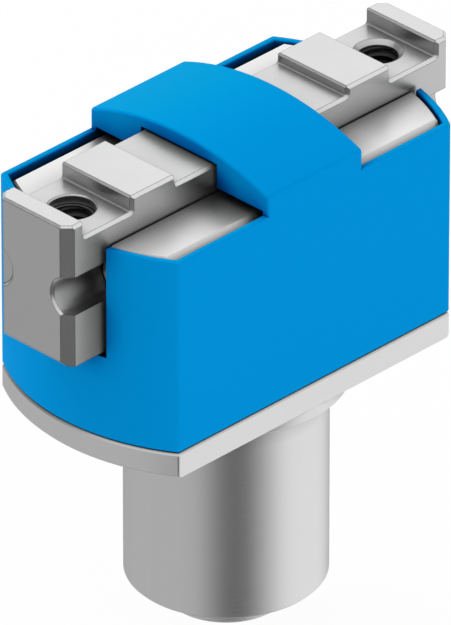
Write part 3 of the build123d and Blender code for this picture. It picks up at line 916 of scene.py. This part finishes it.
SOFTBOXES = (
    Softbox("front_softbox", (60.0, -350.0, 180.0), 260.0, 0.745),
    Softbox("left_softbox", (-330.0, 60.0, 140.0), 260.0, 0.27),
    Softbox("rear_top_softbox", (-40.0, 270.0, 270.0), 300.0, 1.0),
)
LOW_STOPS = (
    (-180, 0.2),
    (-155, 0.5),
    (-120, 0.56),
    (-32, 0.56),
    (-1, 0.1),
    (23, 0.1),
    (68, 1.0),
    (130, 1.0),
    (165, 0.3),
    (180, 0.2),
)
FLAGS = (
    Flag("low_flags", (-78.0, -4.0), LOW_STOPS, columns=145),
    Flag("high_left_flag", (6.0, 50.0), ((-146, 1.0), (-136, 0.3), (-90, 0.3), (-80, 0.45)), columns=34),
)


@dataclass
class Studio:
    """The white surroundings, soft lamps, floor, grey flags and camera.

    Angles are in degrees and lengths in millimetres. The camera looks past the reference point, which lies
    on the cylinder's axis, by the rise and the side step that frame the object as in the photograph.
    """

    azimuth: float = 45.22
    elevation: float = 31.22
    distance: float = 1111.0
    lens: float = 885.9
    reference_level: float = 0.6
    rise: float = 3.865
    side_step: float = -0.048
    sensor: float = 36.0
    nearest: float = 100.0
    farthest: float = 10000.0
    floor_level: float = -21.0
    floor_reach: float = 1500.0
    floor_paint: float = 0.8
    floor_whiteness: float = 0.96
    ambient: float = 0.44
    flag_radius: float = 350.0

    def build_camera(self) -> None:
        """Place the camera at the photograph's viewing angle."""
        a, e = math.radians(self.azimuth), math.radians(self.elevation)
        right = Vector((math.cos(a), -math.sin(a), 0.0))
        up = Vector((math.sin(a) * math.sin(e), math.cos(a) * math.sin(e), math.cos(e)))
        ahead = Vector((math.sin(a) * math.cos(e), math.cos(a) * math.cos(e), -math.sin(e)))
        reference = Vector((0.0, 0.0, self.reference_level))
        place = reference - ahead * self.distance
        aim = reference + up * self.rise + right * self.side_step
        data = bpy.data.cameras.new("camera")
        data.sensor_fit = "VERTICAL"
        data.sensor_width = data.sensor_height = self.sensor
        data.lens = self.lens
        data.clip_start = self.nearest * MM
        data.clip_end = self.farthest * MM
        camera = bpy.data.objects.new("camera", data)
        camera.location = place * MM
        camera.rotation_mode = "QUATERNION"
        camera.rotation_quaternion = (aim - place).to_track_quat("-Z", "Y")
        bpy.context.scene.collection.objects.link(camera)
        bpy.context.scene.camera = camera

    def build_world(self) -> None:
        """Make the surroundings white to the camera and in reflections, and even and soft as light."""
        world = bpy.data.worlds.new("surroundings")
        world.use_nodes = True
        bpy.context.scene.world = world
        graph = Graph(world.node_tree)
        path = graph.add("ShaderNodeLightPath")
        seen = graph.maths("MAXIMUM", path.outputs["Is Camera Ray"], path.outputs["Is Glossy Ray"])
        seen = graph.maths("MAXIMUM", seen, path.outputs["Is Transmission Ray"])
        soft = graph.add("ShaderNodeBackground", {"Color": (1, 1, 1, 1), "Strength": self.ambient})
        white = graph.add("ShaderNodeBackground", {"Color": (1, 1, 1, 1), "Strength": 1.0})
        mixed = graph.add("ShaderNodeMixShader", {"0": seen, "1": soft.outputs[0], "2": white.outputs[0]})
        graph.add("ShaderNodeOutputWorld", {"Surface": mixed.outputs[0]})

    def build_lamp(self, softbox: Softbox) -> None:
        """Add one soft lamp, which polished surfaces don't mirror.

        Args:
            softbox: The lamp's place, side and power.
        """
        data = bpy.data.lights.new(softbox.name, "AREA")
        data.shape = "SQUARE"
        data.size = softbox.side * MM
        data.energy = softbox.power
        lamp = bpy.data.objects.new(softbox.name, data)
        lamp.location = Vector(softbox.place) * MM
        lamp.rotation_mode = "QUATERNION"
        lamp.rotation_quaternion = (-Vector(softbox.place)).to_track_quat("-Z", "Y")
        lamp.visible_glossy = False
        bpy.context.scene.collection.objects.link(lamp)

    def build_floor(self) -> None:
        """Lay a pale floor that keeps a soft shadow and that a camera below it looks through."""
        reach = self.floor_reach
        points = np.array([(-reach, -reach, 0), (reach, -reach, 0), (reach, reach, 0), (-reach, reach, 0)])
        points[:, 2] = self.floor_level
        floor = make_piece("floor", points, [np.array([[0, 1, 2, 3]])])
        material = bpy.data.materials.new("pale_floor")
        material.use_nodes = True
        graph = Graph(material.node_tree)
        paint = graph.add("ShaderNodeBsdfDiffuse", {"Color": (*[self.floor_paint] * 3, 1)})
        white = graph.add("ShaderNodeEmission", {"Color": (1, 1, 1, 1), "Strength": 1.0})
        path = graph.add("ShaderNodeLightPath")
        seen = graph.maths("MULTIPLY", path.outputs["Is Camera Ray"], self.floor_whiteness)
        weak = graph.add("ShaderNodeMixShader", {"0": seen, "1": paint.outputs[0], "2": white.outputs[0]})
        behind = graph.add("ShaderNodeNewGeometry").outputs["Backfacing"]
        clear = graph.add("ShaderNodeBsdfTransparent")
        whole = graph.add("ShaderNodeMixShader", {"0": behind, "1": weak.outputs[0], "2": clear.outputs[0]})
        graph.add("ShaderNodeOutputMaterial", {"Surface": whole.outputs[0]})
        floor.data.materials.append(material)
        floor.visible_glossy = False

    def build_flag(self, flag: Flag) -> None:
        """Hang one grey flag.

        The point for the turn a from the camera's side and the height angle b is
        (R cos b cos h, R cos b sin h, R sin b), where the heading h is a less 90 degrees less the camera's.

        Args:
            flag: The flag's place and shades.
        """
        turns, shades = zip(*flag.stops)
        turn = np.linspace(turns[0], turns[-1], flag.columns)
        tilt = np.linspace(*flag.tilts, flag.rows)
        shade = np.interp(turn, turns, shades)
        heading = np.radians(turn - 90.0 - self.azimuth)[:, None]
        lift = np.radians(tilt)[None, :]
        level = np.cos(lift) * self.flag_radius
        height = np.sin(lift) * self.flag_radius + 0 * heading
        points = np.stack([np.cos(heading) * level, np.sin(heading) * level, height], axis=-1).reshape(-1, 3)
        patch = make_piece(flag.name, points, [grid_faces(len(turn), len(tilt), False, False)])
        layer = patch.data.attributes.new("shade", "FLOAT", "POINT")
        layer.data.foreach_set("value", np.repeat(shade, len(tilt)).astype(np.float32))
        material = bpy.data.materials.new(flag.name)
        material.use_nodes = True
        graph = Graph(material.node_tree)
        read = graph.add("ShaderNodeAttribute", attribute_name="shade")
        glow = graph.add("ShaderNodeEmission", {"Color": (1, 1, 1, 1), "Strength": read.outputs["Fac"]})
        graph.add("ShaderNodeOutputMaterial", {"Surface": glow.outputs[0]})
        patch.data.materials.append(material)
        for sense in ("camera", "diffuse", "transmission", "volume_scatter", "shadow"):
            setattr(patch, f"visible_{sense}", False)

    def build(self) -> None:
        """Set up the whole studio."""
        view = bpy.context.scene.view_settings
        view.view_transform = "Standard"
        self.build_camera()
        self.build_world()
        for softbox in SOFTBOXES:
            self.build_lamp(softbox)
        self.build_floor()
        for flag in FLAGS:
            self.build_flag(flag)
        LOG.info("studio: camera %.1f mm away", self.distance)


def main() -> None:
    """Build the gripper's sub-assemblies in order, dress the CAD nodes and set up the studio."""
    logging.basicConfig(level=logging.INFO, format="%(name)s: %(message)s")
    rack = FinishRack()
    for finish, nodes in NODE_FINISHES.items():
        for node in nodes:
            rack.dress(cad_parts[node], finish)
            LOG.info("%s: %s", node, finish.name)
    for assembly in (FingerHoles(), AirEnd(), PistonDrive()):
        assembly.build(rack)
    Studio().build()


if __name__ == "__main__":
    main()
